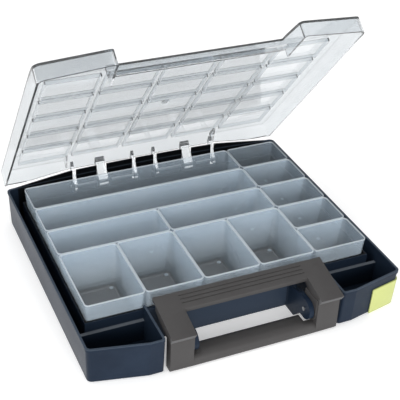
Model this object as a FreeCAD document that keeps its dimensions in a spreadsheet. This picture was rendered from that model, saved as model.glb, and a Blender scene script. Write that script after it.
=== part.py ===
import FreeCAD, Part
import math
import os
import Sketcher

# Assortment case: a shallow tray with thirteen lift-out boxes, a clear lid on two
# hinge rods at the rear and a folding handle in a notch of the front.
# Millimetres, +Z up. The origin is in the middle of the case's underside, +Y to the rear.

os.makedirs("parts", exist_ok=True)
doc = FreeCAD.newDocument("AssortmentCase")

sizes = [
    ("case_width", 300, "over the rim, left to right"),
    ("rear_corner", 130.5, "origin to the rear corners of the rim"),
    ("rear_bow", 6.5, "how far the rear wall bows out in its middle"),
    ("front_corner", 125.7, "origin to the outer front corners of the rim"),
    ("front_rake", 10.8, "how much further forward the wells reach beside the notch"),
    ("front_flat", 13.5, "width of the straight end of the front beside the notch"),
    ("rim_height", 38.5, "height of the tray"),
    ("side_lean", 1.5, "how far the side walls lean in at the foot"),
    ("front_lean", 2.7, "the same for the front walls"),
    ("rear_lean", 1, "the same for the rear wall"),
    ("ridge_rise", 5.7, "how far the rear wall rises over the rim along the hinge"),
    ("ridge_step", 0.4, "how far that ridge stands in from the rim"),
    ("corner_round", 5, "radius of the upright corners of the tray"),
    ("foot_chamfer", 1.5, "chamfer round the underside"),
    ("side_wall", 2, "thickness of the side and front walls"),
    ("rear_wall", 2, "thickness of the rear wall"),
    ("tray_floor", 2.5, "thickness of the floor"),
    ("rim_band", 2.5, "height of the band round the rim"),
    ("rim_step", 0.6, "how far that band stands out"),
    ("notch_gap", 3.3, "gap between the handle and each side of the notch"),
    ("notch_drop", 3.5, "how far the wall behind the notch ends under the rim"),
    ("side_margin", 12.5, "rim to the boxes, on each side"),
    ("module_depth", 39, "pitch of the boxes, front to rear"),
    ("rear_margin", 21.5, "rear corners of the rim to the boxes"),
    ("bay_inset", 0.6, "how far the bay wall stands in under the boxes' edge"),
    ("bay_wall", 2, "thickness of the bay wall"),
    ("bay_drop", 5, "how far the bay wall ends under the rim"),
    ("bay_front_wall", 2.6, "thickness of the bay wall in front"),
    ("ledge_depth", 3.5, "depth of the ledge along the wells"),
    ("ledge_drop", 14.5, "how far that ledge lies under the rim"),
    ("box_gap", 0.3, "gap between two boxes"),
    ("seat_gap", 0.3, "gap under a box"),
    ("box_height", 47.2, "height of a box"),
    ("box_wall", 0.9, "wall of a box"),
    ("box_corner", 4, "radius of a box's corners"),
    ("box_taper", 2.8, "how much narrower a box is at its foot, on each side"),
    ("box_foot", 2.4, "depth of the recess under a box"),
    ("hinge_behind", 0.5, "rear corners of the rim to the hinge axis"),
    ("hinge_drop", 11.5, "how far the hinge axis lies under the rim"),
    ("rod_radius", 1.5, "hinge rod"),
    ("running_gap", 0.08, "radial clearance of the rods and pins"),
    ("eye_radius", 4, "outside of a strap's eye"),
    ("slot_reach", 8, "hinge axis to the lower end of the strap slots"),
    ("slot_gap", 0.5, "gap on each side of a strap"),
    ("bearing_rib", 2, "thickness of the ribs that carry the rods"),
    ("bearing_rise", 4.5, "how far those ribs rise above the axis"),
    ("strap_inner", 12, "middle of the case to the inner strap"),
    ("strap_middle", 48, "middle of the case to the middle strap"),
    ("strap_outer", 78, "middle of the case to the outer strap"),
    ("strap_narrow", 3, "width of the inner and outer straps"),
    ("strap_wide", 10, "width of the middle straps"),
    ("lid_open", 50.5, "degrees that the lid stands open"),
    ("lid_gap", 0.3, "gap between rim and closed lid"),
    ("box_room", 1.5, "room between the boxes and the ribs of the closed lid"),
    ("lid_plate", 2, "thickness of the lid"),
    ("lid_inset", 1, "how far the back of the closed lid stands in from the rear corners"),
    ("front_inset", 2.7, "how far the lid's outer front corners stand in"),
    ("lid_round", 8, "radius of the lid's front corners"),
    ("lid_edge", 1.5, "bevel round the lid's top"),
    ("ear_inset", 4, "how far the inner front corners of the lid's ears stand in"),
    ("ear_fall", 4, "fall of the ears' top from the boxes to their front"),
    ("lid_notch", 3.5, "how far the lid's notch stands behind the tray's notch"),
    ("catch_depth", 7.7, "depth of the thin ledge that the handle closes over"),
    ("catch_cover", 4.1, "handle's rear edge down to that ledge"),
    ("hinge_zone", 164, "width over which the lid slopes to its straps"),
    ("slope_run", 17.5, "depth of that slope"),
    ("slope_fall", 9.5, "fall of that slope"),
    ("rib_depth", 3.5, "depth of the ribs under the lid"),
    ("rib_width", 1, "thickness of the ribs"),
    ("rib_spread", 3, "seam between two boxes to the middle of a rib"),
    ("pivot_reach", 32.5, "notch wall to the handle's pivot"),
    ("pivot_height", 21, "height of the pivot"),
    ("pin_radius", 2, "pivot pin"),
    ("lug_step", 1.5, "inner side of an arm to the outer side of a lug"),
    ("lug_thick", 4.5, "thickness of a lug"),
    ("lug_nose", 10, "radius of a lug's nose"),
    ("handle_width", 162.4, "width of the handle"),
    ("handle_back", 51.1, "height of the handle's rear edge"),
    ("handle_gap", 0.7, "gap between lid and handle"),
    ("handle_rake", 46.3, "rear edge to front edge of the handle's top"),
    ("handle_fall", 10.8, "fall of the handle's top"),
    ("handle_bar", 18.3, "depth of the rear bar"),
    ("handle_arm", 22.2, "width of an arm"),
    ("leg_inset", 0.8, "how far a leg stands in from an arm's side"),
    ("handle_plate", 4, "thickness of the handle's top"),
    ("groove_pitch", 4, "spacing of the grooves along the rear bar"),
    ("groove_width", 0.9, "width of a groove"),
    ("groove_depth", 0.6, "depth of a groove"),
    ("eye_gap", 0.5, "gap between a lug and the handle's eye"),
    ("eye_plate", 4, "thickness of the handle's eye plates"),
    ("eye_round", 11.5, "radius of the handle's eye plates"),
    ("grip_foot", 1, "height of the grip's underside"),
    ("grip_height", 9, "height of the grip"),
    ("grip_depth", 20, "depth of the grip between the lugs"),
    ("grip_round", 8.5, "rounding at the front of the grip"),
    ("clip_thick", 1.2, "thickness of the corner clip"),
    ("clip_front", 31, "how far the clip runs along the front"),
    ("clip_side", 16, "how far it runs along the side"),
    ("clip_top", 28.5, "height of the clip's top edge"),
    ("clip_gap", 0.05, "gap between clip and wall"),
]

sheet = doc.addObject("Spreadsheet::Sheet", "Sizes")
for row, (alias, number, note) in enumerate(sizes, 1):
    sheet.set(f"A{row}", note)
    sheet.set(f"B{row}", str(number))
    sheet.setAlias(f"B{row}", alias)
doc.recompute()


class Term:
    # A length that carries both its number and the expression that gives it in the sheet.
    def __init__(self, number, text):
        self.number = number
        self.text = text

    def join(self, other, sign, number):
        return Term(number, f"({self.text} {sign} {term(other).text})")

    def __add__(self, other):
        return self.join(other, "+", self.number + term(other).number)

    def __sub__(self, other):
        return self.join(other, "-", self.number - term(other).number)

    def __mul__(self, other):
        return self.join(other, "*", self.number * term(other).number)

    def __truediv__(self, other):
        return self.join(other, "/", self.number / term(other).number)

    def __radd__(self, other):
        return term(other) + self

    def __rsub__(self, other):
        return term(other) - self

    def __rmul__(self, other):
        return term(other) * self

    def __neg__(self):
        return Term(-self.number, f"(-1 * {self.text})")


def term(value):
    if isinstance(value, Term):
        return value
    return Term(float(value), repr(float(value)))


def cosine(angle):
    return Term(math.cos(math.radians(angle.number)), f"cos({angle.text})")


def sine(angle):
    return Term(math.sin(math.radians(angle.number)), f"sin({angle.text})")


def slant(across, along):
    return Term(math.degrees(math.atan(across.number / along.number)), f"atan({across.text} / {along.text})")


class Sizes:
    pass


z = Sizes()
for alias, number, note in sizes:
    setattr(z, alias, Term(float(number), f"Sizes.{alias}"))


def newBody(label):
    body = doc.addObject("PartDesign::Body", label)
    body.Label = label
    return body


def newSketch(body, role, offset):
    # The sketch lies on one of the body's origin planes, moved along that plane's normal:
    # +Z for XY_Plane, -Y for XZ_Plane, +X for YZ_Plane.
    sketch = body.newObject("Sketcher::SketchObject", body.Name + "_sketch")
    plane = [item for item in body.Origin.OriginFeatures if item.Role == role][0]
    sketch.AttachmentSupport = [(plane, "")]
    sketch.MapMode = "FlatFace"
    offset = term(offset)
    sketch.AttachmentOffset = FreeCAD.Placement(FreeCAD.Vector(0, 0, offset.number), FreeCAD.Rotation())
    sketch.setExpression("AttachmentOffset.Base.z", offset.text)
    return sketch


def hold(sketch, item, spot, x, y):
    # Fixes one point of the sketch at a place given by two terms.
    for kind, value, axis in (("DistanceX", x, -2), ("DistanceY", y, -1)):
        if value.text == "0.0":
            sketch.addConstraint(Sketcher.Constraint("PointOnObject", item, spot, axis))
        else:
            index = sketch.addConstraint(Sketcher.Constraint(kind, item, spot, value.number))
            sketch.setExpression(f"Constraints[{index}]", value.text)


def drawOutline(sketch, corners, bows=None):
    # A closed outline, counter-clockwise. A corner is (x, y) or (x, y, radius); bows gives,
    # for the side that starts at a corner, a point that its arc passes through.
    bows = bows or {}
    count = len(corners)
    spots = []
    for corner in corners:
        spots.append([term(value) for value in corner])
    points = [FreeCAD.Vector(spot[0].number, spot[1].number, 0) for spot in spots]
    reach, leave, rounds = [], [], []
    for i, spot in enumerate(spots):
        here = points[i]
        if len(spot) < 3:
            reach.append(here)
            leave.append(here)
            rounds.append(None)
            continue
        before = (points[i - 1] - here).normalize()
        after = (points[(i + 1) % count] - here).normalize()
        half = before.getAngle(after) / 2
        run = spot[2].number / math.tan(half)
        centre = here + (before + after).normalize() * (spot[2].number / math.sin(half))
        reach.append(here + before * run)
        leave.append(here + after * run)
        rounds.append((centre, before.cross(after).z < 0))
    # An arc always runs counter-clockwise, so one that bows into the outline starts at its far end.
    sides, heads, tails = [], [1] * count, [2] * count
    for i in range(count):
        last = reach[(i + 1) % count]
        if i in bows:
            through = [term(value) for value in bows[i]]
            middle = FreeCAD.Vector(through[0].number, through[1].number, 0)
            ends = [leave[i], last]
            if (middle - leave[i]).cross(last - middle).z < 0:
                ends.reverse()
                heads[i], tails[i] = 2, 1
            sides.append(sketch.addGeometry(Part.Arc(ends[0], middle, ends[1]), False))
            mark = sketch.addGeometry(Part.Point(middle), True)
            hold(sketch, mark, 1, through[0], through[1])
            sketch.addConstraint(Sketcher.Constraint("PointOnObject", mark, 1, sides[i]))
        else:
            sides.append(sketch.addGeometry(Part.LineSegment(leave[i], last), False))
    for i, spot in enumerate(spots):
        before, after = sides[i - 1], sides[i]
        if rounds[i] is None:
            sketch.addConstraint(Sketcher.Constraint("Coincident", before, tails[i - 1], after, heads[i]))
            hold(sketch, after, heads[i], spot[0], spot[1])
            continue
        centre, left = rounds[i]
        first, last = (reach[i], leave[i]) if left else (leave[i], reach[i])
        start = math.atan2(first.y - centre.y, first.x - centre.x)
        end = math.atan2(last.y - centre.y, last.x - centre.x)
        if end < start:
            end += 2 * math.pi
        circle = Part.Circle(centre, FreeCAD.Vector(0, 0, 1), spot[2].number)
        arc = sketch.addGeometry(Part.ArcOfCircle(circle, start, end), False)
        mark = sketch.addGeometry(Part.Point(points[i]), True)
        hold(sketch, mark, 1, spot[0], spot[1])
        sketch.addConstraint(Sketcher.Constraint("PointOnObject", mark, 1, before))
        sketch.addConstraint(Sketcher.Constraint("PointOnObject", mark, 1, after))
        sketch.addConstraint(Sketcher.Constraint("Tangent", before, tails[i - 1], arc, 1 if left else 2))
        sketch.addConstraint(Sketcher.Constraint("Tangent", after, heads[i], arc, 2 if left else 1))
        index = sketch.addConstraint(Sketcher.Constraint("Radius", arc, spot[2].number))
        sketch.setExpression(f"Constraints[{index}]", spot[2].text)


def drawCircle(sketch, x, y, radius):
    x, y, radius = term(x), term(y), term(radius)
    centre = FreeCAD.Vector(x.number, y.number, 0)
    circle = sketch.addGeometry(Part.Circle(centre, FreeCAD.Vector(0, 0, 1), radius.number), False)
    hold(sketch, circle, 3, x, y)
    index = sketch.addConstraint(Sketcher.Constraint("Radius", circle, radius.number))
    sketch.setExpression(f"Constraints[{index}]", radius.text)


def drawBox(sketch, left, right, low, high):
    drawOutline(sketch, [(left, low), (right, low), (right, high), (left, high)])


def addFeature(body, kind, sketch, length, side="One side", flip=False):
    # A Pad rises along the sketch's normal and a Pocket cuts against it, unless flipped.
    feature = body.newObject("PartDesign::" + kind, f"{body.Name}_{kind.lower()}")
    feature.Profile = sketch
    feature.SideType = side
    feature.Length = term(length).number
    feature.setExpression("Length", term(length).text)
    feature.Reversed = flip
    return feature


def addLoft(body, kind, sketches):
    feature = body.newObject("PartDesign::" + kind, body.Name + "_loft")
    feature.Profile = sketches[0]
    feature.Sections = sketches[1:]
    feature.Ruled = True
    return feature


def findEdges(shape, test):
    return [f"Edge{i}" for i, edge in enumerate(shape.Edges, 1) if test(edge)]


def roundCorners(body, corners, height, radius, kind="Fillet"):
    # Rounds or bevels the straight edges that run down or up from the given corners at one height.
    doc.recompute()
    radius = term(radius)
    tip = body.Tip
    tops = [FreeCAD.Vector(term(x).number, term(y).number, term(height).number) for x, y in corners]

    def rises(edge):
        ends = [vertex.Point for vertex in edge.Vertexes]
        if len(ends) < 2 or abs(ends[0].z - ends[1].z) < 1:
            return False
        return any((end - top).Length < 0.05 for end in ends for top in tops)

    feature = body.newObject("PartDesign::" + kind, f"{body.Name}_{kind.lower()}")
    feature.Base = (tip, findEdges(tip.Shape, rises))
    size = "Radius" if kind == "Fillet" else "Size"
    setattr(feature, size, radius.number)
    feature.setExpression(size, radius.text)
    return feature


def bevelRim(body, height, size):
    # Bevels every edge that lies at one height.
    doc.recompute()
    height, size = term(height), term(size)
    tip = body.Tip

    def lies(edge):
        box = edge.BoundBox
        return max(abs(box.ZMin - height.number), abs(box.ZMax - height.number)) < 0.01

    chamfer = body.newObject("PartDesign::Chamfer", body.Name + "_chamfer")
    chamfer.Base = (tip, findEdges(tip.Shape, lies))
    chamfer.Size = size.number
    chamfer.setExpression("Size", size.text)
    return chamfer


def leanFaces(body, low, high, angle):
    # Leans the upright faces that span a range of heights outward, about the body's base plane.
    doc.recompute()
    tip = body.Tip
    low, high = term(low), term(high)
    names = []
    for i, face in enumerate(tip.Shape.Faces, 1):
        box = face.BoundBox
        if abs(box.ZMin - low.number) < 0.01 and abs(box.ZMax - high.number) < 0.01:
            names.append(f"Face{i}")
    draft = body.newObject("PartDesign::Draft", body.Name + "_draft")
    draft.Base = (tip, names)
    plane = [item for item in body.Origin.OriginFeatures if item.Role == "XY_Plane"][0]
    draft.NeutralPlane = (plane, [""])
    draft.Angle = angle.number
    draft.setExpression("Angle", angle.text)
    draft.Reversed = True
    return draft


def place(item, x, y, height):
    for axis, value in (("x", x), ("y", y), ("z", height)):
        item.setExpression("Placement.Base." + axis, term(value).text)


# Sizes that follow from others: the boxes fill the case, and the lid clears the boxes.
z.module_width = (z.case_width - 2 * z.side_margin) / 5
z.grid_rear = z.rear_corner - z.rear_margin
z.notch_width = z.handle_width + 2 * z.notch_gap
z.notch_wall_top = z.rim_height - z.notch_drop
z.bay_top = z.rim_height - z.bay_drop
z.ledge_top = z.rim_height - z.ledge_drop
z.ridge_top = z.rim_height + z.ridge_rise
z.hinge_setback = z.rear_corner + z.hinge_behind
z.hinge_height = z.rim_height - z.hinge_drop
z.slot_foot = z.hinge_height - z.slot_reach
z.lid_top = z.tray_floor + z.seat_gap + z.box_height + z.box_room + z.rib_depth + z.lid_plate
z.lid_rear = z.rear_corner - z.lid_inset
z.lid_front = z.front_corner - z.front_inset
z.ear_corner = z.front_corner + z.front_rake - z.ear_inset
z.slope_start = z.lid_rear - z.slope_run
z.catch_top = z.handle_back - z.catch_cover
z.lug_inside = z.handle_width / 2 - z.handle_arm - z.lug_step - z.lug_thick

# Lines that several pieces share.
half = z.case_width / 2
notchHalf = z.notch_width / 2
gridHalf = z.module_width * 5 / 2
gridFront = z.grid_rear - z.module_depth * 5
bayHalf = gridHalf - z.bay_inset
bayRear = z.grid_rear - z.bay_inset
bayFront = gridFront + z.bay_inset
frontWall = bayFront - z.bay_front_wall
notchFace = frontWall - z.ledge_depth
bandFoot = z.rim_height - z.rim_band
frontBend = notchHalf + z.front_flat
frontSlope = z.front_rake / (half - frontBend)
zoneHalf = z.hinge_zone / 2
straps = []
for side in (1, -1):
    straps.append((z.strap_inner * side, z.strap_narrow))
    straps.append((z.strap_middle * side, z.strap_wide))
    straps.append((z.strap_outer * side, z.strap_narrow))


def caseOutline(sketch, side, rear, front, notch, back, radius):
    # The tray's plan with the notch in its front, each wall set in by the given amount.
    x = half - side
    y = z.rear_corner - rear
    outer = -(z.front_corner - front)
    inner = -(z.front_corner + z.front_rake - front)
    corners = [(x, y, radius), (-x, y, radius), (-x, outer, radius), (-frontBend, inner),
               (-(notchHalf + notch), inner, radius / 2), (-(notchHalf + notch), back), (notchHalf + notch, back),
               (notchHalf + notch, inner, radius / 2), (frontBend, inner), (x, outer, radius)]
    drawOutline(sketch, corners, {0: (0, y + z.rear_bow)})


# The tray: a leaning outer wall with a band round its rim, hollowed out.
tray = newBody("base_tray")
levels = [
    (0, z.side_lean + z.foot_chamfer, z.rear_lean + z.foot_chamfer, z.front_lean + z.foot_chamfer),
    (z.foot_chamfer, z.side_lean, z.rear_lean, z.front_lean),
    (bandFoot, z.rim_step, z.rim_step, z.rim_step),
]
rings = []
for height, side, rear, front in levels:
    ring = newSketch(tray, "XY_Plane", height)
    caseOutline(ring, side, rear, front, 0, notchFace, z.corner_round)
    rings.append(ring)
addLoft(tray, "AdditiveLoft", rings)
ring = newSketch(tray, "XY_Plane", bandFoot)
caseOutline(ring, 0, 0, 0, 0, notchFace, z.corner_round)
addFeature(tray, "Pad", ring, z.rim_band)

innerRound = z.corner_round - 1.5
hollows = []
for height, side, rear, front in ((z.tray_floor, z.side_lean, z.rear_lean, z.front_lean), (z.rim_height, 0, 0, 0)):
    ring = newSketch(tray, "XY_Plane", height)
    caseOutline(ring, side + z.side_wall, rear + z.rear_wall, front + z.side_wall, z.side_wall, frontWall,
                innerRound)
    hollows.append(ring)
addLoft(tray, "SubtractiveLoft", hollows)

# The bay wall round the boxes, and the lower ledge along the two wells.
ring = newSketch(tray, "XY_Plane", z.tray_floor - 0.5)
wallHalf = bayHalf + z.bay_wall
drawBox(ring, -wallHalf, wallHalf, frontWall, bayRear + z.bay_wall)
drawBox(ring, -bayHalf, bayHalf, bayFront, bayRear)
addFeature(tray, "Pad", ring, z.bay_top - z.tray_floor + 0.5)
ring = newSketch(tray, "XY_Plane", z.tray_floor - 0.5)
for side in (1, -1):
    ends = [(notchHalf + z.side_wall / 2) * side, (half - z.side_wall / 2 - z.side_lean) * side]
    ends.sort(key=lambda item: item.number)
    drawBox(ring, ends[0], ends[1], notchFace, frontWall)
addFeature(tray, "Pad", ring, z.ledge_top - z.tray_floor + 0.5)
ring = newSketch(tray, "XY_Plane", z.rim_height)
drawBox(ring, -notchHalf, notchHalf, notchFace - 1, frontWall + 1)
addFeature(tray, "Pocket", ring, z.rim_height - z.notch_wall_top)

# Two lugs in the notch carry the handle's pivot pins.
pivotY = notchFace - z.pivot_reach
lugTop = z.pivot_height + z.lug_nose
lugFoot = z.pivot_height - z.lug_nose
for side in (1, -1):
    start = z.lug_inside if side > 0 else -(z.lug_inside + z.lug_thick)
    lug = newSketch(tray, "YZ_Plane", start)
    drawOutline(lug, [
        (notchFace - 15.5, 0, 3), (notchFace + 1, 0), (notchFace + 1, lugTop - 2.5),
        (notchFace - 10.5, lugTop - 2.5), (notchFace - 20.5, lugTop), (pivotY, lugTop),
        (pivotY, lugFoot), (pivotY + 7, lugFoot, 3)], {5: (pivotY - z.lug_nose, z.pivot_height)})
    drawCircle(lug, pivotY, z.pivot_height, z.pin_radius + z.running_gap)
    addFeature(tray, "Pad", lug, z.lug_thick)

# The rear wall rises to a ridge along the hinge and slopes down from it to both corners.
def bowAt(x):
    return z.rear_corner + z.rear_bow * (1 - x * x / (half * half))


ridgeEnd = half - z.corner_round - 1
ridgeBack = z.rear_corner + z.rear_bow - z.ridge_step
ring = newSketch(tray, "XY_Plane", z.rim_height - 1)
drawOutline(ring, [(-ridgeEnd, bowAt(ridgeEnd) - z.rear_wall), (ridgeEnd, bowAt(ridgeEnd) - z.rear_wall),
                   (ridgeEnd, bowAt(ridgeEnd) - z.ridge_step), (-ridgeEnd, bowAt(ridgeEnd) - z.ridge_step)],
            {0: (0, z.rear_corner + z.rear_bow - z.rear_wall), 2: (0, ridgeBack)})
addFeature(tray, "Pad", ring, z.ridge_rise + 1)
ring = newSketch(tray, "XZ_Plane", -ridgeBack)
for side in (1, -1):
    points = [(zoneHalf * side, z.ridge_top), (ridgeEnd * side, z.rim_height), ((ridgeEnd + 3) * side, z.rim_height),
              ((ridgeEnd + 3) * side, z.ridge_top + 1), (zoneHalf * side, z.ridge_top + 1)]
    drawOutline(ring, points if side > 0 else points[::-1])
addFeature(tray, "Pocket", ring, z.rear_bow * 4, "Symmetric")

# Slots for the lid's straps, and the ribs that carry the hinge rods beside them.
ring = newSketch(tray, "XY_Plane", z.ridge_top + 1)
for middle, width in straps:
    reach = width / 2 + z.slot_gap
    drawBox(ring, middle - reach, middle + reach, z.hinge_setback - z.eye_radius, z.rear_corner + z.rear_bow + 2)
addFeature(tray, "Pocket", ring, z.ridge_top + 1 - z.slot_foot)
ring = newSketch(tray, "XY_Plane", z.tray_floor - 0.5)
for middle, width in straps:
    outward = 1 if middle.number > 0 else -1
    sides = {z.strap_inner.number: [-1], z.strap_middle.number: [-1, 1], z.strap_outer.number: [1]}
    for side in sides[abs(middle.number)]:
        near = middle + (width / 2 + z.slot_gap) * (side * outward)
        far = near + z.bearing_rib * (side * outward)
        ends = sorted([near, far], key=lambda item: item.number)
        bow = z.rear_bow * (1 - middle * middle / (half * half))
        back = z.rear_corner + bow - z.rear_lean - z.rear_wall / 2
        drawBox(ring, ends[0], ends[1], z.hinge_setback - z.eye_radius - 2, back)
addFeature(tray, "Pad", ring, z.hinge_height + z.bearing_rise - z.tray_floor + 0.5)
bore = newSketch(tray, "YZ_Plane", 0)
drawCircle(bore, z.hinge_setback, z.hinge_height, z.rod_radius + z.running_gap)
boreRun = (z.strap_outer + z.strap_narrow / 2 + z.slot_gap + z.bearing_rib + 1) * 2
addFeature(tray, "Pocket", bore, boreRun, "Symmetric")

# Hinge rods and pivot pins.
rodStart = z.strap_inner - z.strap_narrow / 2 - z.slot_gap - z.bearing_rib - 1
rodEnd = z.strap_outer + z.strap_narrow / 2 + z.slot_gap + z.bearing_rib + 1
pinStart = z.lug_inside - 1
pinEnd = z.lug_inside + z.lug_thick + z.eye_gap + z.eye_plate + 0.5
along = FreeCAD.Rotation(FreeCAD.Vector(0, 1, 0), 90)
shafts = [("hinge_rod", z.rod_radius, rodStart, rodEnd, z.hinge_setback, z.hinge_height),
          ("pivot_pin", z.pin_radius, pinStart, pinEnd, pivotY, z.pivot_height)]
rounds = []
for name, radius, start, end, y, height in shafts:
    for side, word in ((1, "right"), (-1, "left")):
        shaft = doc.addObject("Part::Cylinder", f"{name}_{word}")
        shaft.Label = f"{name}_{word}"
        shaft.setExpression("Radius", radius.text)
        shaft.setExpression("Height", (end - start).text)
        shaft.Placement = FreeCAD.Placement(FreeCAD.Vector(0, 0, 0), along)
        place(shaft, start if side > 0 else -end, y, height)
        rounds.append(shaft)

# Thirteen boxes: thin tapering shells with rounded corners and a recessed foot.
boxes = [
    ("insert_long_rear", 0, 0, 4, 1), ("insert_long_second", 0, 1, 4, 1),
    ("insert_double_left", 0, 2, 2, 1), ("insert_double_right", 2, 2, 2, 1),
    ("insert_deep_a", 0, 3, 1, 2), ("insert_deep_b", 1, 3, 1, 2),
    ("insert_deep_c", 2, 3, 1, 2), ("insert_deep_d", 3, 3, 1, 2),
    ("insert_small_a", 4, 0, 1, 1), ("insert_small_b", 4, 1, 1, 1), ("insert_small_c", 4, 2, 1, 1),
    ("insert_small_d", 4, 3, 1, 1), ("insert_small_e", 4, 4, 1, 1),
]


def boxCorners(halfX, halfY, inset):
    x, y = halfX - inset, halfY - inset
    return [(-x, -y), (x, -y), (x, y), (-x, y)]


def boxRing(body, height, halfX, halfY, inset):
    ring = newSketch(body, "XY_Plane", height)
    drawOutline(ring, boxCorners(halfX, halfY, inset))
    return ring


def taperedBlock(label, halfX, halfY, inset, low, high, radius):
    # A block whose sides lean out as they rise, as if from the given inset at its base plane.
    body = newBody(label)
    ring = boxRing(body, low, halfX, halfY, inset)
    addFeature(body, "Pad", ring, high - low)
    leanFaces(body, low, high, slant(z.box_taper, z.box_height))
    low = term(low)
    roundCorners(body, boxCorners(halfX, halfY, inset - z.box_taper * low / z.box_height), low, radius)
    return body


def makeBox(label, column, row, wide, deep):
    halfX = (z.module_width * wide - z.box_gap) / 2
    halfY = (z.module_depth * deep - z.box_gap) / 2
    foot = z.box_taper + z.box_wall
    body = taperedBlock(label, halfX, halfY, z.box_taper, term(0), z.box_height, z.box_corner)
    core = taperedBlock(label + "_core", halfX, halfY, foot, z.box_foot + z.box_wall, z.box_height + 1,
                        z.box_corner - z.box_wall)
    doc.recompute()
    hollow = body.newObject("PartDesign::Boolean", label + "_hollow")
    hollow.Type = "Cut"
    hollow.setObjects([core])
    recess = boxRing(body, 0, halfX, halfY, foot + z.box_corner / 4)
    addFeature(body, "Pocket", recess, z.box_foot, flip=True)
    place(body, z.module_width * (column + wide / 2) - gridHalf,
          z.grid_rear - z.module_depth * (row + deep / 2), z.tray_floor + z.seat_gap)
    return body


inserts = [makeBox(*box) for box in boxes]

# The lid, drawn closed and then turned open about the hinge axis.
lidFoot = z.rim_height + z.lid_gap
lidNotch = notchFace - z.lid_notch
innerTop = z.lid_top - z.lid_plate
# The notch side runs from the hinge zone's width at its rear to the ear's corner in front.
earRear = z.handle_width / 2 + z.handle_gap + 0.1
earInner = earRear + 2


def lidCorners(inset, notch):
    x = half - inset
    y = z.lid_rear - inset
    outer = -(z.lid_front - inset)
    inner = -(z.ear_corner - inset)
    return [(x, y), (-x, y), (-x, outer), (-(earInner + notch), inner), (-(earRear + notch), lidNotch + notch),
            (earRear + notch, lidNotch + notch), (earInner + notch, inner), (x, outer)]


def lidSolid(body, low, high, inset, notch):
    ring = newSketch(body, "XY_Plane", low)
    rounds = {0: 2, 1: 2, 2: 1, 3: 2, 6: 2, 7: 1}
    corners = lidCorners(inset, notch)
    points = [spot + (z.lid_round / rounds[i] - inset,) if i in rounds else spot for i, spot in enumerate(corners)]
    drawOutline(ring, points)
    addFeature(body, "Pad", ring, high - low)


def cutAcross(body, points, width):
    # Cuts a prism along X, centred on the middle of the case.
    sketch = newSketch(body, "YZ_Plane", 0)
    drawOutline(sketch, points)
    return addFeature(body, "Pocket", sketch, width, "Symmetric")


def slopePoints(drop, back):
    # What the rear slope takes off, above a line lowered by drop and moved by back.
    start = z.slope_start - back
    run = z.lid_rear + 5 - z.slope_start
    fall = z.slope_fall / (z.lid_rear - z.slope_start)
    return [(start, z.lid_top - drop), (start + run, z.lid_top - drop - fall * run),
            (start + run, z.lid_top + 5), (start, z.lid_top + 5)]


def earPoints(drop):
    # What the falling top of the ears takes off.
    run = z.ear_corner + 10 + gridFront
    fall = z.ear_fall / (z.ear_corner + gridFront)
    return [(gridFront - run, z.lid_top - drop - fall * run), (gridFront, z.lid_top - drop),
            (gridFront, z.lid_top + 5), (gridFront - run, z.lid_top + 5)]


lid = newBody("lid")
lidSolid(lid, lidFoot, z.lid_top, term(0), term(0))
bevelRim(lid, z.lid_top, z.lid_edge)
cutAcross(lid, earPoints(term(0)), z.case_width * 1.2)
cutAcross(lid, slopePoints(term(0), term(0)), z.hinge_zone)

core = newBody("lid_core")
lidSolid(core, lidFoot - 1, innerTop, z.lid_plate, z.lid_plate)
cutAcross(core, earPoints(z.lid_plate), z.case_width * 1.2)
cutAcross(core, slopePoints(z.lid_plate, z.lid_plate / 4), z.hinge_zone + z.lid_plate * 2)
doc.recompute()
hollow = lid.newObject("PartDesign::Boolean", "lid_hollow")
hollow.Type = "Cut"
hollow.setObjects([core])

# The wall behind the notch ends above the thin ledge that the handle closes over.
ring = newSketch(lid, "XY_Plane", z.catch_top - z.lid_plate)
drawBox(ring, -(earRear + 0.5), earRear + 0.5, lidNotch - 1, lidNotch + z.lid_plate + 1)
addFeature(lid, "Pocket", ring, z.catch_top)
ring = newSketch(lid, "XY_Plane", z.catch_top - z.lid_plate)
drawBox(ring, -(earRear + 1), earRear + 1, lidNotch - z.catch_depth, lidNotch + z.lid_plate)
addFeature(lid, "Pad", ring, z.lid_plate)

# The rear skirt is cut back between the corners, and its lower edge is bevelled so that
# it turns past the tray's rim.
ring = newSketch(lid, "XZ_Plane", -(z.lid_rear - z.lid_plate / 2))
zoneFoot = z.lid_top - z.slope_fall - z.lid_plate
skirtEnd = ridgeEnd
drawOutline(ring, [(-skirtEnd, lidFoot - 1), (skirtEnd, lidFoot - 1), (skirtEnd, lidFoot), (zoneHalf + 3, zoneFoot),
                   (-(zoneHalf + 3), zoneFoot), (-skirtEnd, lidFoot)])
addFeature(lid, "Pocket", ring, z.lid_plate * 4, "Symmetric")
bevel = [(z.lid_rear - 4, lidFoot - 1), (z.lid_rear + 1, lidFoot - 1), (z.lid_rear + 1, lidFoot + 3.4),
         (z.lid_rear - 4, lidFoot - 0.1)]
cutAcross(lid, bevel, z.case_width * 1.2)

# Under the lid a ring of ribs dips into the mouth of each module, so that nothing strays.
ribFoot = innerTop - z.rib_depth
for row in range(5):
    ring = newSketch(lid, "XY_Plane", ribFoot)
    rear = z.grid_rear - z.module_depth * row
    for column in range(5):
        left = z.module_width * column - gridHalf
        for inset in (z.rib_spread - z.rib_width / 2, z.rib_spread + z.rib_width / 2):
            drawBox(ring, left + inset, left + z.module_width - inset, rear - z.module_depth + inset, rear - inset)
    addFeature(lid, "Pad", ring, z.rib_depth + 0.3)

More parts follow.
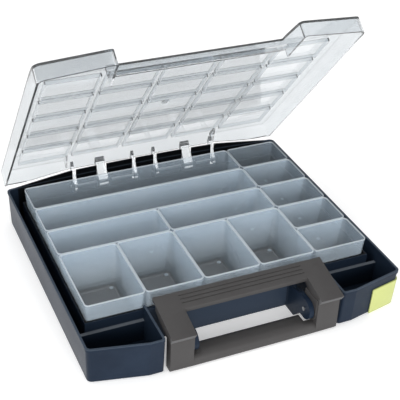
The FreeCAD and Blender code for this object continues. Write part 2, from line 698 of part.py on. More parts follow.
# Six straps run down through the slots and take the hinge rods in their eyes.
slope = z.slope_fall / (z.lid_rear - z.slope_start)
for middle, width in straps:
    strap = newSketch(lid, "YZ_Plane", middle - width / 2)
    low, high = z.hinge_setback - z.eye_radius, z.hinge_setback + z.eye_radius
    front, rear = low - 7, high - 7
    drawOutline(strap, [(front, z.lid_top - (front - z.slope_start) * slope - 1),
                        (low, z.hinge_height), (high, z.hinge_height),
                        (rear, z.lid_top - (rear - z.slope_start) * slope - 1)],
                {1: (z.hinge_setback, z.hinge_height - z.eye_radius)})
    drawCircle(strap, z.hinge_setback, z.hinge_height, z.rod_radius + z.running_gap)
    addFeature(lid, "Pad", strap, width)

turn = z.lid_open
lid.Placement = FreeCAD.Placement(FreeCAD.Vector(0, 0, 0), FreeCAD.Rotation(FreeCAD.Vector(-1, 0, 0), 10))
lid.setExpression("Placement.Rotation.Angle", turn.text)
place(lid, 0, z.hinge_setback - z.hinge_setback * cosine(turn) - z.hinge_height * sine(turn),
      z.hinge_height + z.hinge_setback * sine(turn) - z.hinge_height * cosine(turn))

# The handle: a rear bar and two arms on top, two legs down to the grip, and eye plates
# outside the lugs.
handle = newBody("handle")
backY = lidNotch - z.handle_gap
frontY = backY - z.handle_rake
frontTop = z.handle_back - z.handle_fall
handleHalf = z.handle_width / 2
armInside = handleHalf - z.handle_arm
legOutside = handleHalf - z.leg_inset
catchFace = lidNotch - z.catch_depth - 0.5
catchClear = z.catch_top + z.seat_gap
topSlope = z.handle_fall / z.handle_rake
barFront = backY - z.handle_bar
barFoot = z.handle_back - topSlope * z.handle_bar - z.handle_plate
bar = newSketch(handle, "YZ_Plane", 0)
drawOutline(bar, [(barFront, barFoot), (catchFace, barFoot), (catchFace, catchClear), (backY, catchClear),
                  (backY, z.handle_back), (barFront, z.handle_back - topSlope * z.handle_bar)])
addFeature(handle, "Pad", bar, z.handle_width, "Symmetric")
for side in (1, -1):
    arm = newSketch(handle, "YZ_Plane", armInside if side > 0 else -handleHalf)
    drawOutline(arm, [(frontY + 4, frontTop - 6.3), (frontY + 16, frontTop - 6.3), (barFront + 4, frontTop - 0.8),
                      (catchFace, barFoot), (catchFace, catchClear), (backY, catchClear), (backY, z.handle_back),
                      (frontY, frontTop)])
    addFeature(handle, "Pad", arm, z.handle_arm)
    leg = newSketch(handle, "YZ_Plane", armInside if side > 0 else -legOutside)
    legFront = frontY + 5
    drawOutline(leg, [(legFront, z.grip_foot, z.grip_round), (legFront + 9.5, z.grip_foot),
                      (legFront + 9.5, frontTop - 4), (legFront, frontTop - 4)])
    addFeature(handle, "Pad", leg, legOutside - armInside)
    eyeStart = z.lug_inside + z.lug_thick + z.eye_gap
    eye = newSketch(handle, "YZ_Plane", eyeStart if side > 0 else -(eyeStart + z.eye_plate))
    drawOutline(eye, [(pivotY - z.eye_round, z.pivot_height), (pivotY + z.eye_round, z.pivot_height),
                      (pivotY + z.eye_round - 2, frontTop - 4), (pivotY - z.eye_round, frontTop - 4)],
                {0: (pivotY, z.pivot_height - z.eye_round)})
    drawCircle(eye, pivotY, z.pivot_height, z.pin_radius + z.running_gap)
    addFeature(handle, "Pad", eye, z.eye_plate)
crossing = newSketch(handle, "YZ_Plane", 0)
drawOutline(crossing, [(legFront, z.grip_foot, z.grip_round), (legFront + 9.5, z.grip_foot),
                       (legFront + 9.5, z.grip_foot + z.grip_height), (legFront, z.grip_foot + z.grip_height)])
addFeature(handle, "Pad", crossing, legOutside * 2 - 1, "Symmetric")
grip = newSketch(handle, "YZ_Plane", 0)
gripRear = legFront + z.grip_depth
drawOutline(grip, [(legFront, z.grip_foot, z.grip_round), (gripRear - 1.5, z.grip_foot), (gripRear, z.grip_foot + 1.5),
                   (gripRear, z.grip_foot + z.grip_height), (legFront, z.grip_foot + z.grip_height)])
addFeature(handle, "Pad", grip, (z.lug_inside - 1.5) * 2, "Symmetric")

# Three fine grooves run along the rear bar.
for number in (1, 2, 3):
    near = backY - z.groove_pitch * number
    far = near - z.groove_width
    groove = newSketch(handle, "YZ_Plane", 0)
    drawOutline(groove, [(far, z.handle_back - topSlope * (backY - far) - z.groove_depth),
                         (near, z.handle_back - topSlope * (backY - near) - z.groove_depth),
                         (near, z.handle_back + 1), (far, z.handle_back + 1)])
    addFeature(handle, "Pocket", groove, armInside * 2, "Symmetric")

# The clip wraps the right front corner of the tray.
clip = newBody("marker_clip")
clipRings = []
for height, share in ((term(0.5), term(0)),
                      (z.clip_top, (z.clip_top - z.foot_chamfer) / (bandFoot - z.foot_chamfer))):
    sideIn = z.side_lean + (z.rim_step - z.side_lean) * share
    frontIn = z.front_lean + (z.rim_step - z.front_lean) * share
    x = half - sideIn + z.clip_gap
    y = -(z.front_corner - frontIn) - z.clip_gap
    endX = half - z.clip_front
    endY = y - z.front_rake / (half - sideIn - frontBend) * (x - endX)
    ring = newSketch(clip, "XY_Plane", height)
    drawOutline(ring, [(endX, endY - z.clip_thick), (x + z.clip_thick, y - z.clip_thick * 0.85, z.corner_round + 1),
                       (x + z.clip_thick, y + z.clip_side), (x, y + z.clip_side), (x, y, z.corner_round),
                       (endX, endY)])
    clipRings.append(ring)
addLoft(clip, "AdditiveLoft", clipRings)

doc.recompute()
pieces = [tray, lid, handle, clip] + inserts + rounds
for item in doc.Objects:
    if "Invalid" in item.State or "Error" in item.State:
        raise RuntimeError(f"{item.Label} could not be built: {item.State}")
for piece in pieces:
    shape = piece.Shape
    if shape.isNull() or not shape.isValid() or len(shape.Solids) != 1:
        raise RuntimeError(f"{piece.Label} is not one valid solid")
for piece in pieces:
    piece.Shape.exportStep(f"parts/{piece.Label}.step")
print(len(pieces), "pieces written")
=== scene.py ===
import math

import bmesh
import bpy
from mathutils import Matrix, Vector


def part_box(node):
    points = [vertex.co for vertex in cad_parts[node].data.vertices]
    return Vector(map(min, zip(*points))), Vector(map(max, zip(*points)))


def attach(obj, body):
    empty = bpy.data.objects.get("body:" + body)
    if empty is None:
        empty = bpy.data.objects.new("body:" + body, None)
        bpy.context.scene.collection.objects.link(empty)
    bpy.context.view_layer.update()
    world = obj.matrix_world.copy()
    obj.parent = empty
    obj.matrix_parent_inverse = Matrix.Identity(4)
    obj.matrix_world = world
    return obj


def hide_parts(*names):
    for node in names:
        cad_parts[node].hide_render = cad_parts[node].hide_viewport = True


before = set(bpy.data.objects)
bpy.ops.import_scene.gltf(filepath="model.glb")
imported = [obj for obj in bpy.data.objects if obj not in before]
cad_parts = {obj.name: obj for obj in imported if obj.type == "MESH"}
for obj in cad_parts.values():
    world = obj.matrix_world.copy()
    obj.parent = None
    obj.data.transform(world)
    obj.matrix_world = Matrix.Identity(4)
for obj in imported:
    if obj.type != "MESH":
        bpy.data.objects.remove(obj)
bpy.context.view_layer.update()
print("frame loaded:", len(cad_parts), "nodes")


class Wire:  # one socket, used in plain sums
    def __init__(self, net, socket):
        self.net = net
        self.socket = socket

    def __add__(self, other):
        return self.net.sum("ADD", self, other)

    def __radd__(self, other):
        return self.net.sum("ADD", other, self)

    def __sub__(self, other):
        return self.net.sum("SUBTRACT", self, other)

    def __rsub__(self, other):
        return self.net.sum("SUBTRACT", other, self)

    def __mul__(self, other):
        return self.net.sum("MULTIPLY", self, other)

    def __rmul__(self, other):
        return self.net.sum("MULTIPLY", other, self)

    def __truediv__(self, other):
        return self.net.sum("DIVIDE", self, other)

    def __abs__(self):
        return self.net.sum("ABSOLUTE", self)

    def __pow__(self, other):
        return self.net.sum("POWER", self, other)


class Net:  # one material and its nodes
    def __init__(self, name):
        self.material = bpy.data.materials.new(name)
        self.material.use_nodes = True
        self.tree = self.material.node_tree
        self.shader = self.tree.nodes["Principled BSDF"]
        self.place = self.add("ShaderNodeTexCoord", {}, {}, "Object")
        apart = self.add("ShaderNodeSeparateXYZ", {}, {0: self.place}, None)
        self.x, self.y, self.z = [Wire(self, apart.outputs[i]) for i in range(3)]

    def add(self, kind, settings, values, output=0):
        node = self.tree.nodes.new(kind)
        for key, value in settings.items():
            setattr(node, key, value)
        for key, value in values.items():
            self.feed(node.inputs[key], value)
        if output is None:
            return node
        return Wire(self, node.outputs[output])

    def feed(self, socket, value):
        if isinstance(value, Wire):
            self.tree.links.new(value.socket, socket)
        elif isinstance(value, (tuple, list)) and socket.type == "RGBA" and len(value) == 3:
            socket.default_value = tuple(value) + (1,)
        else:
            socket.default_value = value

    def sum(self, operation, *values):
        return self.add("ShaderNodeMath", {"operation": operation}, dict(enumerate(values)))

    def ramp(self, value, low, high, shape="SMOOTHSTEP"):  # 0 at low, 1 at high, level beyond them
        atLow, atHigh = (0.0, 1.0) if low < high else (1.0, 0.0)
        return self.add("ShaderNodeMapRange", {"interpolation_type": shape},
                        {0: value, 1: min(low, high), 2: max(low, high), 3: atLow, 4: atHigh})

    def within(self, value, low, high, soft):
        return self.ramp(value, low - soft, low + soft) * self.ramp(value, high + soft, high - soft)

    def blend(self, factor, first, second):  # sockets 6 and 7 take the colours, output 2 gives one
        return self.add("ShaderNodeMix", {"data_type": "RGBA"}, {0: factor, 6: first, 7: second}, 2)

    def noise(self, scale, detail, rough, stretch=None):
        place = self.place
        if stretch:
            place = self.add("ShaderNodeMapping", {}, {"Vector": place, "Scale": stretch})
        return self.add("ShaderNodeTexNoise", {}, {"Vector": place, "Scale": scale, "Detail": detail,
                                                   "Roughness": rough})

    def bump(self, height, strength, distance):
        return self.add("ShaderNodeBump", {}, {"Height": height, "Strength": strength, "Distance": distance})

    def finish(self, values):
        for key, value in values.items():
            self.feed(self.shader.inputs[key], value)
        return self.material


def tone(red, green, blue):  # screen values of 0 to 255 as linear light
    return tuple(((v / 255 + 0.055) / 1.055) ** 2.4 if v > 10 else v / 255 / 12.92 for v in (red, green, blue))


def dress(material, slotName, *nodes):
    for name in nodes:
        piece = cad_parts[name]
        for slot in piece.material_slots:
            slot.material = material


# How the meshes are cleaned and shaded: lengths in metres, angles in degrees.
meshing = {"weld": 0.000002, "flat": 0.5, "cut": 0.0000005, "smoothUnder": 32, "softenOver": 35, "segments": 2,
           "hair": 0.0001}


def mergedCopy(name):  # the CAD node's loose triangles as one clean mesh
    shape = bmesh.new()
    shape.from_mesh(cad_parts[name].data)
    bmesh.ops.remove_doubles(shape, verts=shape.verts, dist=meshing["weld"])
    bmesh.ops.dissolve_limit(shape, angle_limit=math.radians(meshing["flat"]), verts=shape.verts, edges=shape.edges)
    return shape


def cutAt(shape, place, direction):
    parts = shape.verts[:] + shape.edges[:] + shape.faces[:]
    bmesh.ops.bisect_plane(shape, geom=parts, dist=meshing["cut"], plane_co=place, plane_no=direction)


def finishPiece(shape, name, material, body, slotName, *replaced):
    smoothUnder = math.radians(meshing["smoothUnder"])
    for edge in shape.edges:
        edge.smooth = len(edge.link_faces) == 2 and edge.calc_face_angle(0) < smoothUnder
    for face in shape.faces:
        face.smooth = True
    mesh = bpy.data.meshes.new(name)
    shape.to_mesh(mesh)
    shape.free()
    piece = bpy.data.objects.new(name, mesh)
    bpy.context.scene.collection.objects.link(piece)
    mesh.materials.append(material)
    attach(piece, body)
    if replaced:
        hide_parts(*replaced)


def softenEdges(shape, width, shortest, test):  # outward corners alone
    softenOver = math.radians(meshing["softenOver"])
    edges = [edge for edge in shape.edges if len(edge.link_faces) == 2 and edge.calc_length() > shortest
             and edge.calc_face_angle_signed(0) > softenOver and test(edge)]
    bmesh.ops.bevel(shape, geom=edges, offset=width, offset_type="OFFSET", segments=meshing["segments"], profile=0.5,
                    affect="EDGES", clamp_overlap=True, material=-1)


# The case's lower half: navy moulded plastic, satin outside, and painted near black within its walls round the boxes
# as painted shade; its front wells keep a navy tone.
# The outline's sizes are those of the tray in CAD, and tell its outside from its inside.
shell = {"outside": tone(20, 31, 46), "worn": tone(34, 46, 62), "inside": tone(5, 7, 10), "well": tone(24, 34, 47),
         "edge": tone(96, 108, 122), "paintedLedgeHighlight": tone(92, 98, 105), "notchLitTone": tone(50, 60, 74),
         "half": 0.1500, "bend": 0.0981, "front": 0.1257, "rake": 0.0108, "rear": 0.1305, "bow": 0.0065,
         "sideLean": 0.0015, "frontLean": 0.0027, "rearLean": 0.0010, "wall": 0.0013, "wallSoft": 0.0002,
         "notchHalf": 0.0845, "notchFace": -0.0915, "notchFrom": -0.0040, "notchFull": -0.0030, "notchPast": 0.0003,
         "rim": 0.0385, "rimReach": 0.0008, "rimFull": 0.0002, "floor": 0.0010, "floorSoft": 0.0003,
         "bayHalf": 0.1380, "bayFront": -0.0866, "baySoft": 0.001,
         "ledgeFront": -0.0915, "ledgeRear": -0.0880, "ledgeTop": 0.0240, "ledgeThick": 0.0004,
         "cloud": (22, 4, 0.6), "flow": (9, 3, 0.55, (1, 0.6, 3.2)), "grain": (2600, 2, 0.6),
         "cloudWear": 0.6, "flowWear": 0.35, "notchLightShare": 0.8, "rimHighlightShare": 0.30,
         "rough": 0.36, "grainRough": 0.12, "flowRough": 0.22, "insideRough": 0.1,
         "ior": 1.49, "gloss": 0.12, "grainHeight": 0.35, "bump": (0.22, 0.0006)}


def trayInside(net, wide):  # 1 within the walls and over the floor, and how far behind the notch's face
    low = 1 - net.z / shell["rim"]  # the walls lean in towards the foot
    side = shell["half"] - wide - low * shell["sideLean"]
    reach = net.ramp(wide, shell["half"], shell["bend"], "LINEAR") * shell["rake"] + shell["front"]
    front = net.y + reach - low * shell["frontLean"]
    bow = shell["bow"] * (1 - (wide / shell["half"]) ** 2.0)
    rear = shell["rear"] + bow - net.y - low * shell["rearLean"]
    depth = net.sum("MINIMUM", net.sum("MINIMUM", side, front), rear)
    behind = net.sum("MAXIMUM", wide - shell["notchHalf"], net.y - shell["notchFace"])
    inside = net.ramp(depth, shell["wall"] - shell["wallSoft"], shell["wall"] + shell["wallSoft"])
    inside = inside * net.ramp(behind, shell["wall"] - shell["wallSoft"], shell["wall"] + shell["wallSoft"])
    inside = inside * net.ramp(net.z, shell["floor"] - shell["floorSoft"], shell["floor"] + shell["floorSoft"])
    return inside, behind


def shellMaterial():
    net = Net("navyShell")
    cloud = net.noise(*shell["cloud"])
    flow = net.noise(*shell["flow"])
    grain = net.noise(*shell["grain"])
    wide = abs(net.x)
    inside, behind = trayInside(net, wide)
    # Round the boxes the walls and floor are painted near black: painted shade. The wells in front keep a navy tone
    # of their own.
    bay = net.ramp(wide, shell["bayHalf"] + shell["baySoft"], shell["bayHalf"])
    bay = bay * net.ramp(net.y, shell["bayFront"] - shell["baySoft"], shell["bayFront"])
    inner = net.blend(bay, shell["well"], shell["inside"])
    # A light grey strip along the ledge in the front wells: painted highlight.
    ledgeHighlightMask = net.within(net.y, shell["ledgeFront"], shell["ledgeRear"], shell["floorSoft"])
    ledgeHighlightMask = ledgeHighlightMask * net.within(net.z, shell["ledgeTop"] - shell["ledgeThick"],
                               shell["ledgeTop"] + shell["ledgeThick"], shell["wallSoft"])
    inner = net.blend(ledgeHighlightMask, inner, shell["paintedLedgeHighlight"])
    outer = net.blend(net.ramp(cloud, 0.35, 0.75) * shell["cloudWear"], shell["outside"], shell["worn"])
    outer = net.blend(net.ramp(flow, 0.5, 0.8) * shell["flowWear"], outer, shell["worn"])
    # The notch's wall is painted lighter than the rest of the outside: painted light on that face.
    notch = net.ramp(behind, shell["notchFrom"], shell["notchFull"]) * net.ramp(behind, shell["notchPast"], 0)
    outer = net.blend(notch * shell["notchLightShare"], outer, shell["notchLitTone"])
    colour = net.blend(inside, outer, inner)
    # A thin paler line round the rim's top in the edge tone: painted highlight.
    rim = net.ramp(net.z, shell["rim"] - shell["rimReach"], shell["rim"] - shell["rimFull"])
    rim = rim * net.ramp(net.z, shell["rim"] + shell["rimReach"], shell["rim"] + shell["rimFull"])
    colour = net.blend(rim * shell["rimHighlightShare"], colour, shell["edge"])
    rough = shell["rough"] + (grain - 0.5) * shell["grainRough"] + (flow - 0.5) * shell["flowRough"]
    rough = rough + inside * shell["insideRough"]
    height = grain * shell["grainHeight"] + flow
    return net.finish({"Base Color": colour, "Roughness": rough, "IOR": shell["ior"],
                       "Specular IOR Level": shell["gloss"], "Normal": net.bump(height, *shell["bump"])})


dress(shellMaterial(), "tray", "base_tray")


# The lift-out boxes: thin frosted plastic that lets the dark tray show through. Cover is how
# much of what lies behind a face it hides; the right column and the rear row hide a little less, so more dark tray
# shows: painted shade.
frosted = {"wall": tone(203, 220, 234), "low": tone(214, 226, 234), "rim": tone(220, 228, 234),
           "floor": tone(196, 199, 201), "cover": 0.24, "rimCover": 0.28, "bodyCover": 0.03, "paintedShadeCut": 0.062,
           "climbFrom": 0.004, "climbFull": 0.046, "foot": 0.0062, "footSoft": 0.0003,
           "rimFrom": 0.0488, "rimFull": 0.0494, "columnFrom": 0.0825, "rearFrom": 0.0700, "rowSoft": 0.0001,
           "flow": (34, 3, 0.55, (1, 1, 0.35)), "speck": (260, 3, 0.6), "flowShare": 0.18, "flowCover": 0.06,
           "floorShadeShare": 0.7, "floorSpeck": 0.3, "speckCover": 0.16, "rough": 0.34, "speckRough": 0.08,
           "ior": 1.49, "bump": (0.02, 0.0002)}


def frostedMaterial(name, foot, extra):
    net = Net(name)
    flow = net.noise(*frosted["flow"])
    speck = net.noise(*frosted["speck"])
    # The walls are paler low down: painted light against the shade that falls low in the boxes.
    colour = net.blend(net.ramp(net.z, frosted["climbFrom"], frosted["climbFull"]), frosted["low"], frosted["wall"])
    colour = net.blend(net.ramp(flow, 0.4, 0.75) * frosted["flowShare"], colour, frosted["rim"])
    # The boxes' floors are painted a darker grey, with specks: painted shade.
    base = net.ramp(net.z, foot + frosted["footSoft"], foot)
    colour = net.blend(base * (frosted["floorShadeShare"] + speck * frosted["floorSpeck"]), colour, frosted["floor"])
    # A paler band round the rim's top: painted highlight, and the faces hide more there.
    rim = net.ramp(net.z, frosted["rimFrom"], frosted["rimFull"])
    colour = net.blend(rim, colour, frosted["rim"])
    column = net.ramp(net.x, frosted["columnFrom"] - frosted["rowSoft"], frosted["columnFrom"] + frosted["rowSoft"])
    rear = net.ramp(net.y, frosted["rearFrom"] - frosted["rowSoft"], frosted["rearFrom"] + frosted["rowSoft"])
    cover = frosted["cover"] + extra + rim * frosted["rimCover"] + (flow - 0.5) * frosted["flowCover"]
    cover = cover + base * (speck - 0.5) * frosted["speckCover"]
    # Less cover in the right column and the rear row lets more of the dark tray show: painted shade.
    cover = cover + (1 - base) * (frosted["bodyCover"] - (column + rear) * frosted["paintedShadeCut"])
    rough = frosted["rough"] + (speck - 0.5) * frosted["speckRough"]
    return net.finish({"Base Color": colour, "Roughness": rough, "IOR": frosted["ior"], "Alpha": cover,
                       "Normal": net.bump(speck, *frosted["bump"])})


boxNames = [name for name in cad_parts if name.startswith("insert_")]
dress(frostedMaterial("frostedPlastic", frosted["foot"], 0), "frosted_box", *boxNames)


# A small round mark of the moulding on each box's floor, and a larger one in the middle of the
# lid, which is placed on the shut lid and turned up with it about the hinge.
mark = {"radius": 0.0019, "height": 0.0003, "floor": 0.0061, "fromSide": 0.0082, "fromRear": 0.0088, "points": 24,
        "ring": 0.3, "dish": 0.6, "cover": 0.3,
        "lidRadius": 0.0040, "lidHeight": 0.0006, "lidPlace": (-0.0025, 0.0075, 0.05499),
        "hinge": (0, 0.1310, 0.0270), "lidOpen": 50.5}


def moulding(radius, height, place, downwards):  # a low disc with a raised ring round a dish
    shape = bmesh.new()
    bmesh.ops.create_circle(shape, cap_ends=True, radius=radius, segments=mark["points"])
    raised = bmesh.ops.extrude_face_region(shape, geom=shape.faces[:])["geom"]
    top = [part for part in raised if isinstance(part, bmesh.types.BMFace)]
    points = [part for part in raised if isinstance(part, bmesh.types.BMVert)]
    bmesh.ops.translate(shape, vec=(0, 0, height), verts=points)
    bmesh.ops.inset_region(shape, faces=top, thickness=radius * mark["ring"], depth=0)
    bmesh.ops.translate(shape, vec=(0, 0, -height * mark["dish"]), verts=top[0].verts)
    if downwards:
        bmesh.ops.rotate(shape, cent=(0, 0, 0), matrix=Matrix.Rotation(math.pi, 3, "X"), verts=shape.verts)
    bmesh.ops.translate(shape, vec=place, verts=shape.verts)
    bmesh.ops.recalc_face_normals(shape, faces=shape.faces)
    return shape


markPlastic = frostedMaterial("frostedMark", 0, mark["cover"])
for name in boxNames:
    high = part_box(name)[1]
    place = (high[0] - mark["fromSide"], high[1] - mark["fromRear"], mark["floor"])
    finishPiece(moulding(mark["radius"], mark["height"], place, False), "mark_" + name, markPlastic, name + "_body",
                "frosted_box")


# The lid: clear hard plastic, only its edges and ribs grey.
clear = {"body": tone(238, 241, 243), "haze": tone(226, 230, 233), "rough": 0.04, "flowRough": 0.03, "ior": 1.47,
         "through": 0.96, "flow": (30, 2, 0.5), "bump": (0.06, 0.0004)}


def clearMaterial():
    net = Net("clearLid")
    flow = net.noise(*clear["flow"])
    return net.finish({"Base Color": net.blend(flow, clear["body"], clear["haze"]),
                       "Roughness": clear["rough"] + flow * clear["flowRough"], "IOR": clear["ior"],
                       "Transmission Weight": clear["through"], "Normal": net.bump(flow, *clear["bump"])})


clearPlastic = clearMaterial()
dress(clearPlastic, "clear_lid", "lid")
lidMark = moulding(mark["lidRadius"], mark["lidHeight"], mark["lidPlace"], True)
bmesh.ops.rotate(lidMark, cent=mark["hinge"], matrix=Matrix.Rotation(-math.radians(mark["lidOpen"]), 3, "X"),
                 verts=lidMark.verts)
finishPiece(lidMark, "mark_lid", clearPlastic, "lid_body", "clear_lid")
print("lid and boxes made")


# The handle: dark grey satin plastic with a fine spark-eroded grain. Its grip is crowned and
# its long edges are softened on a merged copy of the CAD node. The chamfer at the arms' front
# is painted paler as a painted highlight, and the rear bar's grooved top stays sharp.
grip = {"dark": tone(57, 55, 55), "pale": tone(66, 65, 65), "edge": tone(86, 86, 87),
        "cloud": (45, 3, 0.6), "grain": (2200, 2, 0.6), "rough": 0.5, "grainRough": 0.2, "ior": 1.49, "gloss": 0.3,
        "bump": (0.25, 0.0002), "tip": -0.1420, "bandRear": -0.1376, "bandTop": 0.0403, "bandFall": 0.2333,
        "bandFoot": 0.0338, "rear": -0.1170, "front": -0.1370, "foot": 0.0010, "top": 0.0100, "end": 0.0515,
        "fade": 0.0035, "fadeCuts": (1, 0.66, 0.33, 0), "leg": 0.0590, "crownAt": -0.1225, "crown": 0.0009,
        "roundAt": -0.1275, "frontDrop": 0.0052, "rearDrop": 0.0012, "strips": 14,
        "footRound": 0.0085, "cornerRound": 0.0020, "flatTurn": 35, "roundSoft": 0.0003,
        "softEdge": 0.0004, "shortest": 0.006, "sharpRear": -0.1100, "sharpTop": 0.0470}


def gripMaterial():
    net = Net("handlePlastic")
    cloud = net.noise(*grip["cloud"])
    grain = net.noise(*grip["grain"])
    # The chamfer at the arms' front in the paler edge tone: painted highlight.
    chamferHighlight = net.ramp(net.y, grip["bandRear"] + 0.0001, grip["bandRear"] - 0.0002)
    under = grip["bandTop"] + (net.y - grip["tip"]) * grip["bandFall"] - net.z
    chamferHighlight = chamferHighlight * net.ramp(under, 0.0002, 0.0006) * net.ramp(net.z, grip["bandFoot"], grip["bandFoot"] + 0.0004)
    return net.finish({"Base Color": net.blend(chamferHighlight, net.blend(cloud, grip["dark"], grip["pale"]), grip["edge"]),
                       "Roughness": grip["rough"] + (grain - 0.5) * grip["grainRough"], "IOR": grip["ior"],
                       "Specular IOR Level": grip["gloss"], "Normal": net.bump(grain, *grip["bump"])})


def squareFoot(shape):  # the legs and grip end in a nearly square front corner
    middleY = grip["front"] + grip["footRound"]
    middleZ = grip["foot"] + grip["footRound"]
    corner, flatTurn = grip["cornerRound"], grip["flatTurn"]
    straight = grip["footRound"] - corner
    for point in shape.verts:
        x, y, z = point.co
        if y > middleY - meshing["hair"] or z > middleZ - meshing["hair"]:
            continue
        if abs(math.hypot(y - middleY, z - middleZ) - grip["footRound"]) > grip["roundSoft"]:
            continue
        turn = math.degrees(math.atan2(middleZ - z, middleY - y))
        if turn < flatTurn:
            point.co.y = grip["front"]
            point.co.z = middleZ - straight * turn / flatTurn
        elif turn > 90 - flatTurn:
            point.co.y = middleY - straight * (90 - turn) / flatTurn
            point.co.z = grip["foot"]
        else:
            around = math.radians((turn - flatTurn) / (90 - 2 * flatTurn) * 90)
            point.co.y = grip["front"] + corner * (1 - math.cos(around))
            point.co.z = grip["foot"] + corner * (1 - math.sin(around))


def gripLift(y):  # how far the grip's top stands over the CAD solid's flat one
    if y < grip["roundAt"]:
        share = min(1, (grip["roundAt"] - y) / (grip["roundAt"] - grip["front"]))
        return grip["crown"] - (grip["crown"] + grip["frontDrop"]) * (1 - math.sqrt(1 - share ** 2))
    if y < grip["crownAt"]:
        return grip["crown"]
    share = min(1, (y - grip["crownAt"]) / (grip["rear"] - grip["crownAt"]))
    return grip["crown"] - (grip["crown"] + grip["rearDrop"]) * share ** 2


def crownGrip(shape):
    step = (grip["rear"] - grip["front"]) / grip["strips"]
    for i in range(1, grip["strips"]):
        cutAt(shape, (0, grip["front"] + step * i, 0), (0, 1, 0))
    for side in (1, -1):
        cutAt(shape, (grip["leg"] * side, 0, 0), (1, 0, 0))
        for share in grip["fadeCuts"]:
            cutAt(shape, ((grip["end"] - grip["fade"] * share) * side, 0, 0), (1, 0, 0))
    slack = 2 * meshing["hair"]
    for point in shape.verts:
        x, y, z = point.co
        if abs(x) > grip["leg"] + meshing["hair"] or not grip["front"] - slack < y < grip["rear"] + slack:
            continue
        if z > grip["top"] + slack:
            continue
        lift = gripLift(y)
        if lift > 0:
            lift = lift * max(0, min(1, (grip["end"] - abs(x)) / grip["fade"]))
        point.co.z = z + lift * (z - grip["foot"]) / (grip["top"] - grip["foot"])


def offTheGrooves(edge):
    return not all(point.co.y > grip["sharpRear"] and point.co.z > grip["sharpTop"] for point in edge.verts)


handleShape = mergedCopy("handle")
softenEdges(handleShape, grip["softEdge"], grip["shortest"], offTheGrooves)
squareFoot(handleShape)
crownGrip(handleShape)
finishPiece(handleShape, "handleShell", gripMaterial(), "handle_body", "handle", "handle")
print("handle made")


# The marker clip in lime, and the steel rods and pins.
lime = {"face": tone(185, 192, 121), "deep": tone(177, 184, 109), "cloud": (60, 3, 0.5), "cloudShare": 0.6,
        "grain": (2400, 2, 0.6), "rough": 0.4, "grainRough": 0.16, "ior": 1.49, "bump": (0.2, 0.0002),
        "softEdge": 0.0003, "shortest": 0.001}
steel = {"light": tone(176, 178, 180), "deep": tone(120, 122, 125), "brush": (600, 4, 0.7, (0.05, 1, 1)),
         "rough": 0.24, "brushRough": 0.16, "bump": (0.12, 0.0002)}


def limeMaterial():
    net = Net("limeClip")
    cloud = net.noise(*lime["cloud"])
    grain = net.noise(*lime["grain"])
    return net.finish({"Base Color": net.blend(cloud * lime["cloudShare"], lime["face"], lime["deep"]),
                       "Roughness": lime["rough"] + (grain - 0.5) * lime["grainRough"], "IOR": lime["ior"],
                       "Normal": net.bump(grain, *lime["bump"])})


def steelMaterial():
    net = Net("brushedSteel")
    brush = net.noise(*steel["brush"])
    return net.finish({"Base Color": net.blend(brush, steel["light"], steel["deep"]), "Metallic": 1.0,
                       "Roughness": steel["rough"] + brush * steel["brushRough"],
                       "Normal": net.bump(brush, *steel["bump"])})


clipShape = mergedCopy("marker_clip")
softenEdges(clipShape, lime["softEdge"], lime["shortest"], lambda edge: True)
finishPiece(clipShape, "clipShell", limeMaterial(), "case", "clip", "marker_clip")
dress(steelMaterial(), "steel", "hinge_rod_left", "hinge_rod_right", "pivot_pin_left", "pivot_pin_right")
print("clip, rods and pins made")


# Floor, light and camera. Each light has its name, place, size and power.
studio = {"floor": tone(236, 236, 236), "floorPale": tone(246, 247, 248), "floorHalf": 4, "cloud": (3, 2, 0.5),
          "cloudShare": 0.4, "floorRough": 0.8, "glow": 0.30, "world": 0.66, "aim": (0, 0, 0.03),
          "lights": [("overhead", (0.1, 0.3, 1.9), 1.6, 5), ("leftSide", (-1.9, -0.5, 0.9), 1.2, 16),
                     ("front", (-0.3, -2.2, 0.8), 1.2, 34)]}
view = {"place": (-0.319107, -0.694527, 0.574587), "azimuth": -24.949, "height": 33.303, "roll": 2.459,
        "lens": 87.77, "sensor": 36, "nearest": 0.02}


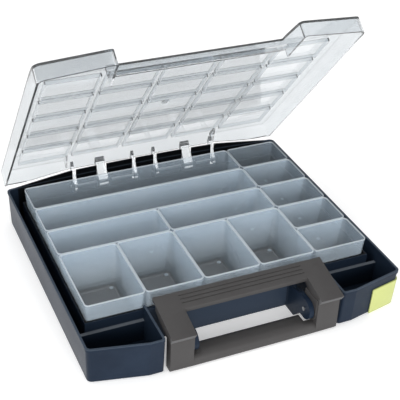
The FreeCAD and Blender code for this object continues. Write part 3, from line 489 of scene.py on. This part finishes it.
def floorMaterial():
    net = Net("paleFloor")
    cloud = net.noise(*studio["cloud"])
    return net.finish({"Base Color": net.blend(cloud * studio["cloudShare"], studio["floor"], studio["floorPale"]),
                       "Roughness": studio["floorRough"], "Emission Color": (1, 1, 1, 1),
                       "Emission Strength": studio["glow"]})


def makeFloor():
    shape = bmesh.new()
    bmesh.ops.create_grid(shape, x_segments=1, y_segments=1, size=studio["floorHalf"])
    mesh = bpy.data.meshes.new("floor")
    shape.to_mesh(mesh)
    shape.free()
    piece = bpy.data.objects.new("floor", mesh)
    bpy.context.scene.collection.objects.link(piece)
    mesh.materials.append(floorMaterial())


def makeLights():
    for name, place, size, power in studio["lights"]:
        lamp = bpy.data.lights.new(name, "AREA")
        lamp.shape = "DISK"
        lamp.size = size
        lamp.energy = power
        piece = bpy.data.objects.new(name, lamp)
        piece.location = place
        piece.rotation_euler = (Vector(place) - Vector(studio["aim"])).to_track_quat("Z", "Y").to_euler()
        bpy.context.scene.collection.objects.link(piece)
    world = bpy.data.worlds.new("studio")
    world.use_nodes = True
    background = world.node_tree.nodes["Background"]
    background.inputs["Color"].default_value = (1, 1, 1, 1)
    background.inputs["Strength"].default_value = studio["world"]
    bpy.context.scene.world = world
    bpy.context.scene.view_settings.view_transform = "Standard"


def makeCamera():
    around, up, roll = [math.radians(view[key]) for key in ("azimuth", "height", "roll")]
    back = Vector((math.sin(around) * math.cos(up), -math.cos(around) * math.cos(up), math.sin(up)))
    right = (-back).cross(Vector((0, 0, 1))).normalized()
    top = right.cross(-back)
    across = right * math.cos(roll) + top * math.sin(roll)
    along = top * math.cos(roll) - right * math.sin(roll)
    turn = Matrix((across, along, back)).transposed()
    lens = bpy.data.cameras.new("photoCamera")
    lens.lens = view["lens"]
    lens.sensor_width = view["sensor"]
    lens.clip_start = view["nearest"]
    camera = bpy.data.objects.new("photoCamera", lens)
    camera.matrix_world = Matrix.Translation(view["place"]) @ turn.to_4x4()
    bpy.context.scene.collection.objects.link(camera)
    bpy.context.scene.camera = camera


makeFloor()
makeLights()
makeCamera()
print("studio ready")
